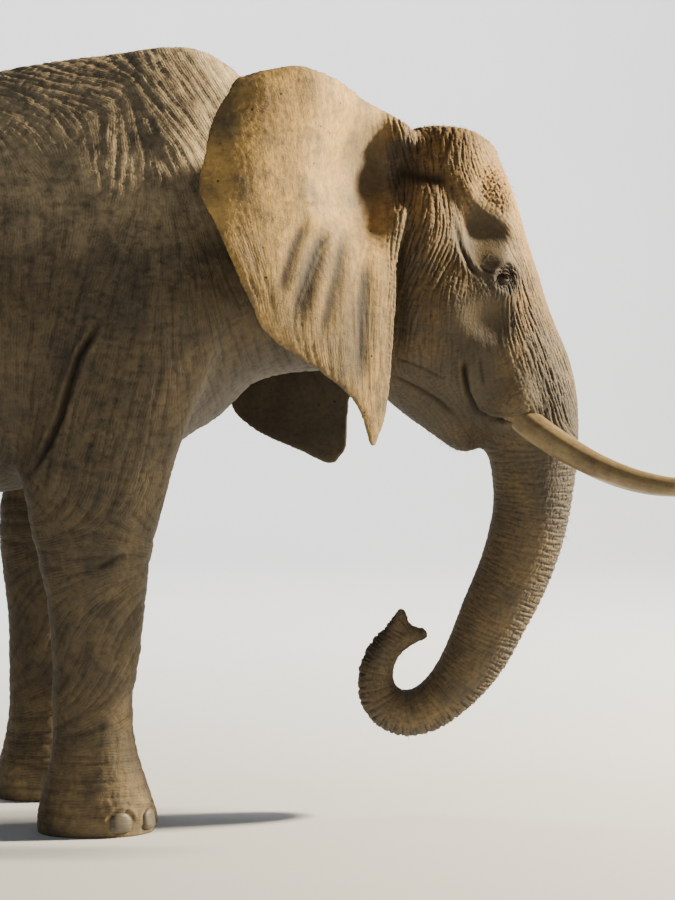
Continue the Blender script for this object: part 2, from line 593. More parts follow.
# guide lines in side view that the folds of the skin follow: from x, z to x, z, and how far they reach
GUIDES = (
    # nape, from the crest down to the hollow behind the ear's root
    (0.894, 2.164, 0.923, 2.006, 0.05),
    (0.962, 2.130, 0.990, 1.960, 0.05),
    (1.030, 2.130, 1.047, 1.960, 0.05),
    (1.103, 2.124, 1.086, 1.960, 0.05),
    # forehead
    (1.171, 2.113, 1.317, 1.803, 0.06),
    (1.103, 1.989, 1.143, 1.915, 0.05),
    (1.143, 1.915, 1.255, 1.831, 0.04),
    (1.255, 1.831, 1.285, 1.750, 0.04),
    # bulge before the ear, fanning down into the cheek
    (0.996, 1.927, 0.945, 1.803, 0.05),
    (1.030, 1.927, 1.045, 1.814, 0.04),
    (1.045, 1.814, 1.020, 1.746, 0.04),
    (1.020, 1.746, 0.951, 1.611, 0.06),
    (1.075, 1.915, 1.103, 1.774, 0.04),
    (1.103, 1.774, 1.131, 1.712, 0.03),
    (1.131, 1.712, 1.170, 1.668, 0.03),
    (1.081, 1.769, 0.973, 1.645, 0.05),
    (1.118, 1.695, 1.100, 1.622, 0.04),
    # cheek
    (1.030, 1.577, 1.024, 1.430, 0.07),
    (1.098, 1.605, 1.086, 1.430, 0.05),
    (0.940, 1.600, 0.930, 1.440, 0.07),
    # round and below the eye
    (1.267, 1.633, 1.250, 1.526, 0.04),
    (1.250, 1.526, 1.289, 1.408, 0.05),
    (1.190, 1.735, 1.275, 1.735, 0.03),
    (1.289, 1.735, 1.306, 1.662, 0.04),
    (1.306, 1.662, 1.340, 1.549, 0.05),
    (1.340, 1.549, 1.402, 1.430, 0.05),
    (1.289, 1.521, 1.368, 1.295, 0.05),
    (1.402, 1.430, 1.440, 1.300, 0.06),
    (1.340, 1.640, 1.400, 1.500, 0.06),
    (1.400, 1.500, 1.455, 1.330, 0.06),
    (1.360, 1.420, 1.400, 1.250, 0.05),
    # jaw and lips
    (0.894, 1.380, 1.047, 1.295, 0.05),
    (1.047, 1.295, 1.110, 1.180, 0.05),
    (1.165, 1.436, 1.176, 1.351, 0.05),
    (1.176, 1.351, 1.260, 1.270, 0.05),
    # neck
    (0.560, 2.200, 0.600, 1.950, 0.12),
    (0.600, 1.950, 0.640, 1.500, 0.15),
    (0.780, 2.100, 0.800, 1.800, 0.10),
    (0.780, 1.700, 0.760, 1.400, 0.12),
    # withers and shoulder
    (0.271, 2.337, 0.370, 2.181, 0.10),
    (0.192, 2.202, 0.271, 2.116, 0.08),
    (0.300, 2.050, 0.380, 1.900, 0.12),
    (0.250, 1.800, 0.300, 1.500, 0.15),
    (0.085, 2.145, 0.100, 1.967, 0.08),
    (0.100, 1.860, 0.014, 1.682, 0.10),
    (0.150, 1.600, 0.080, 1.350, 0.12),
    # behind the shoulder, in arcs over the ribs
    (-0.271, 2.216, -0.164, 2.188, 0.07),
    (-0.164, 2.188, -0.093, 2.102, 0.05),
    (-0.093, 2.102, -0.050, 1.988, 0.06),
    (-0.050, 1.988, -0.036, 1.896, 0.07),
    (-0.271, 2.102, -0.193, 2.045, 0.05),
    (-0.193, 2.045, -0.150, 1.988, 0.06),
    (-0.200, 2.288, 0.014, 2.238, 0.06),
    (-0.036, 1.800, -0.060, 1.560, 0.10),
    (-0.060, 1.500, -0.160, 1.200, 0.10),
    # flank
    (-0.350, 1.950, -0.300, 1.300, 0.16),
    (-0.650, 2.050, -0.600, 1.250, 0.20),
    (-0.950, 2.050, -0.900, 1.250, 0.20),
    (-0.400, 1.150, -0.800, 1.050, 0.14),
    (-0.800, 1.050, -1.150, 1.060, 0.14),
    (-1.150, 2.050, -1.200, 1.700, 0.12),
    (-1.200, 1.700, -1.310, 1.300, 0.12),
    # haunch
    (-1.420, 2.150, -1.480, 1.850, 0.14),
    (-1.480, 1.850, -1.600, 1.450, 0.18),
    (-1.750, 2.050, -1.850, 1.600, 0.16),
    (-1.600, 1.400, -1.700, 1.150, 0.16),
    (-1.850, 1.500, -1.800, 1.150, 0.14),
    # ear
    (0.50, 2.15, 0.56, 1.90, 0.12),
    (0.66, 1.82, 0.60, 1.62, 0.08),
    (0.40, 1.75, 0.60, 1.42, 0.08),
    (0.60, 1.42, 0.80, 1.25, 0.06),
    (0.74, 1.75, 0.76, 1.42, 0.07),
    (0.88, 1.75, 0.85, 1.25, 0.06),
)

# how deep the skin folds along the guides, across them, and finely all over
BASE_DEPTHS = (1.5 * MM, 0.9 * MM, 0.5 * MM)
# the same in millimetres by places: x, |y|, z, reach in x, y and z, and the three depths
DEPTHS = (
    (-0.80, 0.50, 1.50, 0.60, 0.60, 0.60, 1.0, 0.8, 0.5),  # ribs
    (-0.10, 0.50, 2.00, 0.30, 0.60, 0.36, 1.6, 0.5, 0.3),  # behind the shoulder
    (0.30, 0.30, 2.20, 0.28, 0.50, 0.30, 1.5, 0.5, 0.3),  # withers
    (0.05, 0.45, 1.60, 0.30, 0.40, 0.45, 1.6, 1.2, 0.5),  # shoulder
    (0.05, 0.45, 1.15, 0.28, 0.40, 0.30, 1.5, 1.5, 0.5),  # upper foreleg
    (-1.60, 0.45, 1.60, 0.50, 0.50, 0.60, 1.8, 1.4, 0.6),  # haunch
    (-1.30, 0.40, 1.25, 0.25, 0.40, 0.35, 3.4, 1.2, 0.5),  # stifle fold
    (0.70, 0.20, 1.90, 0.30, 0.40, 0.60, 3.6, 1.2, 0.5),  # neck
    (0.96, 0.15, 2.05, 0.20, 0.30, 0.17, 3.4, 0.8, 0.4),  # nape
    (1.25, 0.00, 1.95, 0.20, 0.20, 0.25, 0.9, 0.9, 0.6),  # forehead
    (1.215, 0.16, 1.93, 0.07, 0.12, 0.10, 0.8, 1.8, 2.4),  # bumpy patch over the brow
    (1.02, 0.25, 1.78, 0.13, 0.25, 0.20, 3.4, 0.7, 0.4),  # bulge before the ear
    (1.02, 0.25, 1.52, 0.20, 0.25, 0.20, 1.7, 0.9, 0.5),  # cheek
    (1.18, 0.25, 1.81, 0.11, 0.16, 0.12, 0.3, 0.2, 0.1),  # temple
    (1.17, 0.25, 1.54, 0.12, 0.16, 0.11, 0.2, 0.2, 0.1),  # hollow under the eye
    (1.19, 0.24, 1.72, 0.06, 0.16, 0.05, 0.3, 0.1, 0.1),  # between the temple and the eye
    (1.31, 0.18, 1.58, 0.10, 0.14, 0.20, 3.2, 0.8, 0.4),  # folds before the eye
    (1.42, 0.12, 1.40, 0.12, 0.16, 0.26, 3.6, 0.8, 0.4),  # folds down the edge of the face
    (1.25, 0.20, 1.33, 0.12, 0.14, 0.12, 0.7, 0.7, 0.5),  # sheath of the tusk
    (1.02, 0.20, 1.30, 0.13, 0.20, 0.12, 1.2, 0.9, 0.5),  # jaw
    (1.18, 0.22, 1.38, 0.08, 0.16, 0.09, 0.5, 0.5, 0.4),  # before the corner of the mouth
)
TRUNK_DEPTHS, TRUNK_FRONT = (1.1 * MM, 0.7 * MM, 0.4 * MM), (4.2 * MM, 1.4 * MM, 0.4 * MM)
LEG_DEPTHS = (1.4 * MM, 0.8 * MM, 0.6 * MM)
# the forelegs' folds slant round this axis below the knee
SHIN_AXIS = np.array((-0.91, 0.0, 0.41))
SHIN_HEIGHT, SHIN_REACH, SHIN_BACK = 0.55, 0.34, -0.60
EAR_DEPTHS, EAR_SLACK_DEPTHS = (0.3 * MM, 0.4 * MM, 0.8 * MM), (1.6 * MM, 0.5 * MM, 0.6 * MM)
# where the ear is wrinkled: x, z, reach in x and z
EAR_SLACK = (
    (0.470, 1.640, 0.120, 0.260),
    (0.640, 1.420, 0.170, 0.170),
    (0.840, 1.450, 0.080, 0.380),
)

# single folds in side view, ridges where the depth is below 0: depth, width, least and most |y|, points x, z
CREASES = (
    # corner of the mouth, under the tusk's sheath
    (22 * MM, 7 * MM, 0.10, 0.40,
     (1.112, 1.432), (1.118, 1.380), (1.129, 1.323), (1.160, 1.264), (1.205, 1.240)),
    (12 * MM, 7 * MM, 0.06, 0.40, (1.190, 1.246), (1.235, 1.238), (1.289, 1.246), (1.330, 1.262)),
    (3.5 * MM, 6 * MM, 0.10, 0.40, (1.163, 1.440), (1.168, 1.390), (1.178, 1.345)),
    # jaw
    (6 * MM, 7 * MM, 0.05, 0.40, (0.880, 1.385), (0.973, 1.340), (1.047, 1.295), (1.105, 1.240)),
    (4 * MM, 6 * MM, 0.05, 0.40, (0.900, 1.435), (0.990, 1.400), (1.060, 1.365)),
    # lower edge of the bulge before the ear, running to the eye
    (6 * MM, 7 * MM, 0.10, 0.40, (1.090, 1.850), (1.103, 1.774), (1.131, 1.712), (1.165, 1.673)),
    # small fold behind the eye
    (4 * MM, 4 * MM, 0.10, 0.40, (1.160, 1.712), (1.185, 1.700), (1.205, 1.692)),
    # the bony edge over the temple
    (-11 * MM, 24 * MM, 0.10, 0.40,
     (1.103, 1.995), (1.143, 1.915), (1.199, 1.865), (1.255, 1.831), (1.285, 1.765)),
    # under the nape's hollow
    (9 * MM, 24 * MM, 0.08, 0.40, (0.900, 2.010), (0.960, 1.990), (1.025, 1.978), (1.080, 1.975)),
    # armpit, where the skin of the ribs laps over the arm
    (19 * MM, 9 * MM, 0.25, 0.60,
     (0.035, 1.575), (0.0, 1.504), (-0.036, 1.447), (-0.064, 1.361), (-0.093, 1.262), (-0.136, 1.176),
     (-0.193, 1.083)),
    # bend of the foreleg
    (4 * MM, 10 * MM, 0.20, 0.60, (0.100, 0.850), (0.060, 0.835), (0.010, 0.810)),
    # veins of the ear
    (-2.5 * MM, 5 * MM, 0.40, 0.80,
     (0.486, 2.101), (0.533, 2.107), (0.592, 2.119), (0.650, 2.122), (0.683, 2.107)),
    (-2.5 * MM, 5 * MM, 0.36, 0.80, (0.548, 1.896), (0.621, 1.902), (0.709, 1.905), (0.765, 1.887)),
    (-1.5 * MM, 5 * MM, 0.36, 0.80, (0.790, 1.880), (0.680, 1.760), (0.620, 1.600), (0.600, 1.470)),
    (-1.5 * MM, 5 * MM, 0.36, 0.80, (0.820, 1.800), (0.780, 1.650), (0.790, 1.450)),
    # slack of the ear below its middle
    (6 * MM, 20 * MM, 0.36, 0.80, (0.650, 1.860), (0.605, 1.770), (0.560, 1.620)),
    (9 * MM, 26 * MM, 0.36, 0.80, (0.710, 1.850), (0.660, 1.720), (0.600, 1.530)),
    (5 * MM, 20 * MM, 0.36, 0.80, (0.755, 1.830), (0.730, 1.700), (0.680, 1.480)),
    (6 * MM, 24 * MM, 0.36, 0.80, (0.820, 1.760), (0.810, 1.600), (0.800, 1.350)),
)


# ---------------------------------------------------------------- fine ears


def ear_middle(x, z):
    """Distance of the ear's middle from the midplane."""
    middle_x, middle_z, reach_x, reach_z, depth = EAR_HOLLOW
    hollow = depth * bump(np.hypot((x - middle_x) / reach_x, (z - middle_z) / reach_z))
    lean = EAR_LEAN * ((z - EAR_UPRIGHT) * ease(x, 0.95, 0.45)) ** 2
    root_lean = ROOT_LEAN * (np.maximum(z - EAR_UPRIGHT, 0) * ease(x, 0.62, 0.90)) ** 2
    clear = EAR_CLEAR * (1 - ease(z, 1.65, 1.85))
    sink = ROOT_SINK * ease(x, 0.84, 0.95) * ease(z, 1.84, 1.98) * (1 - ease(z, 2.03, 2.11))
    return spline(EAR_PLANE, x)[:, 0] + clear - lean - root_lean - hollow - sink


def ear(rows, side):
    """A blade whose middle follows EAR_PLANE, thin at the rim and thick where it joins the head."""
    rings = []
    across = (1 - np.cos(np.linspace(0, math.pi, EAR_POINTS))) / 2
    for z, back, front in stations(rows, EAR_STEP)[::-1]:
        x = front + (back - front) * across
        curl = ease(across, 0.70, 1.05) * ease(z, 1.75, 2.0) * (1 - ease(z, 2.20, 2.30))
        y = ear_middle(x, z) - EAR_CURL * curl
        root = ease(x, 0.80, 0.92) * ease(z, 1.70, 1.85)
        blade = EAR_RIM + (EAR_BLADE - EAR_RIM) * np.sin(math.pi * across) ** 0.7
        half = (blade + (EAR_ROOT - EAR_RIM) * root) / 2
        outer = np.column_stack([x, side * (y + half), np.full_like(x, z)])
        inner = np.column_stack([x, side * (y - half), np.full_like(x, z)])
        rings.append(np.concatenate([outer, inner[::-1]]))
    return loft(rings)


# ---------------------------------------------------------------- meshes


def arrays(mesh):
    """(points, normals, edges) of a mesh."""
    points = np.empty(len(mesh.vertices) * 3, np.float32)
    mesh.vertices.foreach_get("co", points)
    normals = np.empty(len(mesh.vertices) * 3, np.float32)
    mesh.vertex_normals.foreach_get("vector", normals)
    edges = np.empty(len(mesh.edges) * 2, np.int32)
    mesh.edges.foreach_get("vertices", edges)
    return points.reshape(-1, 3).astype(float), normals.reshape(-1, 3).astype(float), edges.reshape(-1, 2)


def put_points(mesh, points):
    """The mesh's vertices moved to these places."""
    mesh.vertices.foreach_set("co", np.ascontiguousarray(points, np.float32).ravel())
    mesh.update()


def smooth(mesh, weigh, rounds):
    """The mesh relaxed, each point by the weight that `weigh` gives its place."""
    points, _, edges = arrays(mesh)
    put_points(mesh, relax(points, edges, weigh(points), rounds))


def in_scene(name, data):
    """A new object of this data, in the scene."""
    made = bpy.data.objects.new(name, data)
    bpy.context.scene.collection.objects.link(made)
    return made


@contextmanager
def editing(mesh):
    """The mesh as a bmesh, written back at the end."""
    work = bmesh.new()
    work.from_mesh(mesh)
    yield work
    work.to_mesh(mesh)
    work.free()
    mesh.update()


def new_object(name, *shapes):
    """An object of one or more closed shapes, each (points, faces), facing outwards."""
    mesh = bpy.data.meshes.new(name)
    with editing(mesh) as work:
        for points, faces in shapes:
            corners = [work.verts.new(point) for point in points]
            for face in faces:
                work.faces.new([corners[i] for i in face])
        bmesh.ops.recalc_face_normals(work, faces=work.faces)
    return in_scene(name, mesh)


def set_attribute(mesh, name, values):
    layer = mesh.attributes.new(name, "FLOAT", "POINT")
    layer.data.foreach_set("value", values.astype(np.float32))


def set_vectors(mesh, name, vectors):
    layer = mesh.attributes.new(name, "FLOAT_VECTOR", "POINT")
    layer.data.foreach_set("vector", vectors.astype(np.float32).ravel())


def settle(thing):
    """The object's modifiers applied."""
    bpy.context.view_layer.update()
    evaluated = thing.evaluated_get(bpy.context.evaluated_depsgraph_get())
    mesh = bpy.data.meshes.new_from_object(evaluated)
    thing.modifiers.clear()
    thing.data = mesh


def remesh(thing, voxel):
    """The object's shapes made into one closed skin of even faces."""
    modifier = thing.modifiers.new("one skin", "REMESH")
    modifier.mode = "VOXEL"
    modifier.voxel_size = voxel
    settle(thing)


def join(name, things):
    """One object of the faces of several, which are removed."""
    mesh = bpy.data.meshes.new(name)
    with editing(mesh) as work:
        for thing in things:
            work.from_mesh(thing.data)
            bpy.data.objects.remove(thing)
    return in_scene(name, mesh)


def split_faces(mesh, wanted):
    """The faces whose middle is `wanted` divided in four."""
    with editing(mesh) as work:
        chosen = wanted(np.array([face.calc_center_median() for face in work.faces]))
        edges = dict.fromkeys(edge for face, yes in zip(work.faces, chosen) if yes for edge in face.edges)
        bmesh.ops.subdivide_edges(work, edges=list(edges), cuts=1, use_grid_fill=True)


def flatten_soles(mesh):
    """The feet cut off level at the floor."""
    with editing(mesh) as work:
        everything = work.verts[:] + work.edges[:] + work.faces[:]
        cut = bmesh.ops.bisect_plane(work, geom=everything, plane_no=Z_AXIS, clear_inner=True)
        rim = [item for item in cut["geom_cut"] if isinstance(item, bmesh.types.BMEdge)]
        bmesh.ops.holes_fill(work, edges=rim)
        bmesh.ops.recalc_face_normals(work, faces=work.faces)


# ---------------------------------------------------------------- fields on a mesh


def neighbours(mesh, count=8):
    """For every vertex its neighbours along edges and across quads, padded with itself."""
    _, _, edges = arrays(mesh)
    starts = np.empty(len(mesh.polygons), np.int32)
    mesh.polygons.foreach_get("loop_start", starts)
    totals = np.empty(len(mesh.polygons), np.int32)
    mesh.polygons.foreach_get("loop_total", totals)
    corners = np.empty(len(mesh.loops), np.int32)
    mesh.loops.foreach_get("vertex_index", corners)
    quads = corners[starts[totals == 4][:, None] + np.arange(4)]
    pairs = np.concatenate([edges, quads[:, [0, 2]], quads[:, [1, 3]]])
    pairs = np.concatenate([pairs, pairs[:, ::-1]])
    pairs = pairs[np.argsort(pairs[:, 0], kind="stable")]
    size = len(mesh.vertices)
    first = np.searchsorted(pairs[:, 0], np.arange(size))
    place = np.arange(len(pairs)) - first[pairs[:, 0]]
    table = np.tile(np.arange(size)[:, None], (1, count))
    fits = place < count
    table[pairs[fits, 0], place[fits]] = pairs[fits, 1]
    return table


def spread(values, table, weights, rounds):
    """Each value drawn to its neighbours' by the weights, round after round."""
    total = 1 + weights.sum(axis=1)
    for _ in range(rounds):
        values = (values + (weights * values[table]).sum(axis=1)) / total
    return values


def lattice_noise(points, size, seed):
    """Smooth noise whose swells are about `size` across, the same wherever it is read."""
    cells = points / size + LATTICE_OFFSET
    base = np.floor(cells).astype(np.int64)
    part = cells - base
    part = part * part * (3 - 2 * part)
    values = np.random.default_rng(seed).standard_normal(LATTICE_VALUES)
    total = np.zeros(len(points))
    for corner in np.ndindex(2, 2, 2):
        mixed = np.bitwise_xor.reduce((base + corner) * LATTICE_PRIMES, axis=1)
        total += values[mixed % LATTICE_VALUES] * np.where(corner, part, 1 - part).prod(axis=1)
    return total


def follow(points, normals, table, directions, values, rounds):
    """Columns of values averaged along the line through each vertex, `rounds` steps each way."""
    normals, directions = normals.astype(np.float32), directions.astype(np.float32)
    everyone = np.arange(len(points))
    ways = (points[table] - points[:, None]).astype(np.float32)
    lengths = (ways**2).sum(axis=2)
    stride = 0.8 * np.sqrt(lengths[:, :1])
    total = values.copy()
    for sense in (1, -1):
        at, heading = everyone, sense * directions
        off = np.zeros_like(directions)
        for k in range(rounds):
            off = off + stride[at] * heading
            gain = 2 * np.einsum("nkc,nc->nk", ways[at], off) - lengths[at]
            best = gain.argmax(axis=1)
            step = np.where((gain[everyone, best] > 0)[:, None], ways[at, best], 0)
            at = np.where(gain[everyone, best] > 0, table[at, best], at)
            off = off - step
            off = off - normals[at] * (off * normals[at]).sum(axis=1)[:, None]
            same_way = (directions[at] * heading).sum(axis=1)[:, None] >= 0
            heading = np.where(same_way, directions[at], -directions[at])
            total += values[at] * (1 - k / rounds)
    return total


def evened(values, table, rounds):
    """Values about their local mean, in units of their local spread."""
    even = np.ones(table.shape, np.float32)
    values = values - spread(values, table, even, rounds)
    return values / np.sqrt(spread(values**2, table, even, 2 * rounds) + 1e-12)


def valley(values):
    """1 in the narrow valleys between swells, 0 on the swells."""
    return ease(-values, *VALLEY)


def folds(values):
    """Rounded swells with narrow valleys between them."""
    return SWELL * np.tanh(values) - valley(values)


def unit(vectors):
    return vectors / np.maximum(np.linalg.norm(vectors, axis=-1, keepdims=True), 1e-9)


def segment_distance(points, start, end):
    """(distance, share of the way) of points in side view to a straight segment."""
    start, end = np.asarray(start, float), np.asarray(end, float)
    way = end - start
    share = np.clip((points - start) @ way / (way @ way), 0, 1)
    return np.linalg.norm(points - start - share[:, None] * way, axis=1), share


def line_distance(points, corners):
    """(distance, share of the way) of points in side view to a line through corners."""
    lengths = [math.dist(a, b) for a, b in zip(corners, corners[1:])]
    nearest = np.full(len(points), np.inf)
    share = np.zeros(len(points))
    before = 0.0
    for a, b, length in zip(corners, corners[1:], lengths):
        distance, part = segment_distance(points, a, b)
        closer = distance < nearest
        nearest[closer] = distance[closer]
        share[closer] = (before + part[closer] * length) / sum(lengths)
        before += length
    return nearest, share


# ---------------------------------------------------------------- regions


def fineness(points):
    """1 where the skin's mesh is fine enough for narrow folds."""
    return ease(points[:, 0], FINE_FROM - 0.05, FINE_FROM + 0.05)


def ear_share(points):
    """1 on the blades of the ears, 0 on the rest."""
    x, y, z = folded(points).T
    near = 1 - ease(np.abs(y - ear_middle(x, z)), 0.030, 0.050)
    return near * ease(x, 0.24, 0.28) * (1 - ease(x, 0.84, 0.93)) * ease(z, 0.95, 1.0)


def side_bump(points, place_x, place_z, reach_x, reach_z):
    """A hump of height 1 round a place in side view."""
    return bump(np.hypot((points[:, 0] - place_x) / reach_x, (points[:, 2] - place_z) / reach_z))


def ear_slack(points):
    """1 where the blades of the ears are wrinkled."""
    return ear_share(points) * np.max([side_bump(points, *row) for row in EAR_SLACK], axis=0)


def trunk_place(points):
    """(share, direction of the axis) of the trunk at each point."""
    rows = spaced(TRUNK, 0.02)
    ways = unit(np.gradient(rows[:, :2], axis=0))
    share = np.zeros(len(points))
    axis = np.tile((0.0, 0.0, -1.0), (len(points), 1))
    inside = np.flatnonzero((points[:, 0] > 0.72) & (points[:, 2] < 1.35))
    flat = points[inside][:, [0, 2]]
    gaps = np.linalg.norm(flat[:, None] - rows[None, :, :2], axis=2)
    nearest = gaps.argmin(axis=1)
    reach = gaps.min(axis=1) / rows[nearest, 2]
    share[inside] = (1 - ease(reach, 1.25, 1.6)) * (1 - ease(flat[:, 1], 1.14, 1.26))
    axis[inside, 0], axis[inside, 2] = ways[nearest].T
    return share, axis


def leg_share(points):
    """1 on the legs up to the elbow and the knee."""
    return (1 - ease(points[:, 2], 0.80, 1.10)) * (points[:, 0] < 0.6)


def fold_directions(points, normals):
    """The way the folds run at each vertex, as a unit vector in the surface."""
    flat = points[:, [0, 2]]
    tensor = np.zeros((3, len(points)))
    for x0, z0, x1, z1, reach in GUIDES:
        distance, _ = segment_distance(flat, (x0, z0), (x1, z1))
        weight = np.exp(-((distance / reach) ** 2)) + 1e-6 / (0.05 + distance) ** 2
        way_x, way_z = unit(np.array([x1 - x0, z1 - z0]))
        tensor += weight * np.array([way_x * way_x, way_x * way_z, way_z * way_z])[:, None]
    angle = 0.5 * np.arctan2(2 * tensor[1], tensor[0] - tensor[2])
    level = np.zeros(len(points))
    guide = np.column_stack([np.cos(angle), level, np.sin(angle)])
    across = np.column_stack([np.sin(angle), level, -np.cos(angle)])
    over = np.cross(normals, across)
    plain = np.linalg.norm(over, axis=1)[:, None] < 0.35
    directions = np.where(plain, guide, over)
    trunk, axis = trunk_place(points)
    shin = (points[:, 0] > SHIN_BACK) * bump((points[:, 2] - SHIN_HEIGHT) / SHIN_REACH)
    leg_axis = Z_AXIS + shin[:, None] * (SHIN_AXIS - Z_AXIS)
    for share, ringed in ((trunk, np.cross(normals, axis)), (leg_share(points), np.cross(normals, leg_axis))):
        ringed = unit(ringed)
        directions = unit(directions)
        turn = np.where((ringed * directions).sum(axis=1) < 0, -1, 1)[:, None]
        directions = directions * (1 - share[:, None]) + turn * ringed * share[:, None]
    directions -= normals * (directions * normals).sum(axis=1)[:, None]
    return unit(directions)


def fold_depths(points, normals):
    """Depth of the folds along the guides, across them and fine, at each vertex."""
    depths = np.tile(BASE_DEPTHS, (len(points), 1))
    for *place, reach_x, reach_y, reach_z, main, cross, fine in DEPTHS:
        share = 1 - ease(apart(points, place, (reach_x, reach_y, reach_z)), 0.45, 1.15)[:, None]
        depths = depths * (1 - share) + share * np.array((main, cross, fine)) * MM
    trunk, axis = trunk_place(points)
    front = trunk * ease((normals * np.cross(axis, Y_AXIS)).sum(axis=1), 0.35, 0.85)
    for share, wanted in (
        (leg_share(points), LEG_DEPTHS),
        (trunk, TRUNK_DEPTHS),
        (front, TRUNK_FRONT),
        (ear_share(points), EAR_DEPTHS),
        (ear_slack(points), EAR_SLACK_DEPTHS),
    ):
        depths = depths * (1 - share[:, None]) + share[:, None] * np.array(wanted)
    return depths


# ---------------------------------------------------------------- the skin


def base_form():
    """The solids' own form, a little finer, with the large slack folds of the hide."""
    body = new_object("body", *all_lofts())
    remesh(body, BASE_VOXEL)
    smooth(body.data, softness, RELAX_ROUNDS)
    points, normals, _ = arrays(body.data)
    put_points(body.data, points + normals * relief(points)[:, None])
    large_folds(body.data)
    rounder = body.modifiers.new("rounder", "SUBSURF")
    rounder.levels = rounder.render_levels = 1
    settle(body)
    return body


def large_folds(mesh):
    """Slack folds as wide as a hand, deepest on the flanks, haunches and neck."""
    points, normals, _ = arrays(mesh)
    table = neighbours(mesh)
    noise = lattice_noise(points, SLACK_WIDTH, SEED).astype(np.float32)[:, None]
    lines = follow(points, normals, table, fold_directions(points, normals), noise, SLACK_ROUNDS)[:, 0]
    swell = folds(evened(lines, table, SLACK_EVENED))
    depth = np.full(len(points), 1.0 * MM)
    for *place, reach, rise in SLACK:
        depth += rise * MM * bump(apart(points, place, reach))
    depth *= 1 - trunk_place(points)[0]
    put_points(mesh, points + normals * (swell * depth)[:, None])


def lay_creases(points, normals, height, crease):
    """Single named folds pressed into the side of the body."""
    at = np.abs(points[:, 1])
    flat = points[:, [0, 2]]
    sideways = ease(np.abs(normals[:, 1]), 0.15, 0.40)
    for depth, width, least, most, *corners in CREASES:
        close = (at > least) & (at < most)
        distance, share = line_distance(flat[close], corners)
        ends = np.clip(4 * share * (1 - share) * 1.6, 0, 1) * sideways[close]
        cut = np.exp(-((distance / width) ** 2)) * ends
        lips = np.exp(-(((distance - LIP_AWAY * width) / width) ** 2)) * ends
        height[close] += depth * (LIP_HEIGHT * lips - cut)
        crease[close] = np.maximum(crease[close], np.clip(depth / NAMED_DEPTH, 0, 1) * cut)


def one_sense(points, crossing):
    """The ways across the folds, each turned so that its neighbours have the same sense."""
    trunk, axis = trunk_place(points)
    sense = np.where((trunk > 0.3)[:, None], axis, ACROSS_SENSE)
    return crossing * np.where((crossing * sense).sum(axis=1) < 0, -1, 1)[:, None]


def off_floor(points):
    """0 on the soles, 1 above them, so that they stay level."""
    return ease(points[:, 2], 0.0, 12 * MM)


def wrinkle(mesh):
    """The whole hide's wrinkles pressed into the mesh, with attributes for the material: how deep in a crease
    each vertex lies, how strong its narrowest folds are and the way across them."""
    points, normals, _ = arrays(mesh)
    table = neighbours(mesh)
    directions = fold_directions(points, normals)
    noise = [lattice_noise(points, size, SEED + k) for k, size in enumerate(FOLD_SIZES, 1)]
    noise = np.column_stack(noise).astype(np.float32)
    long = follow(points, normals, table, directions, noise, FOLD_ROUNDS)
    crossing = unit(np.cross(normals, directions))
    short = follow(points, normals, table, crossing, noise[:, ::-1], CROSS_ROUNDS)
    main, cross, fine = fold_depths(points, normals).T
    close = fineness(points)
    height = fine * 0.5 * evened(noise[:, 1], table, NARROW_EVENED)
    crease = np.zeros(len(points))
    layers = ((main, long[:, 0], long[:, 1], 1.0), (cross, short[:, 1], short[:, 0], 0.7))
    for depth, wide, narrow, darkness in layers:
        wide, narrow = evened(wide, table, WIDE_EVENED), evened(narrow, table, NARROW_EVENED)
        height += depth * (1 - NARROW_SHARE * close) * folds(wide)
        height += depth * NARROW_SHARE * close * folds(narrow)
        crease += darkness * depth * np.maximum((1 - 0.5 * close) * valley(wide), close * valley(narrow))
    crease *= (1 - 0.5 * weathered(points, normals)) / CREASE_DEPTH
    lay_creases(points, normals, height, crease)
    crease = np.maximum(crease, SOCKET_SHADE * (1 - ease(apart(points, EYE_AT), *SOCKET_REACH)))
    put_points(mesh, points + normals * (height * off_floor(points))[:, None])
    set_attribute(mesh, "crease", np.clip(crease, 0, 1))
    set_attribute(mesh, "narrow", np.clip(main / STRONG_FOLDS, 0.08, 1) * (1 - 0.55 * close))
    set_vectors(mesh, "across", one_sense(points, crossing))


# ---------------------------------------------------------------- eyes and lids


def eye_frame(points, normals, side):
    """(middle of the eyeball, ways ahead, up and out) on one side."""
    middle = np.array(EYE_AT) * (1, side, 1)
    close = np.linalg.norm(points - middle, axis=1) < EYE_HIDE
    out = unit((normals[close] * (normals[close][:, [1]] * side > 0)).sum(axis=0))
    ahead = unit(X_AXIS - out * out[0])
    up = np.cross(out, ahead) * -side
    return middle, ahead, up if up[2] > 0 else -up, out


def lid_gap(ahead, up):
    """How far a place lies outside the opening between the lids; negative inside."""
    share = np.clip(1 - (ahead / LID_HALF_LENGTH) ** 2, 0, 1)
    upper, lower = LID_UPPER * share**0.8, LID_LOWER * share**0.9
    outside = np.maximum(up - upper, -lower - up)
    beyond = np.maximum(np.abs(ahead) - LID_HALF_LENGTH, 0)
    return np.where(beyond > 0, np.hypot(beyond, np.maximum(outside, 0)), outside)


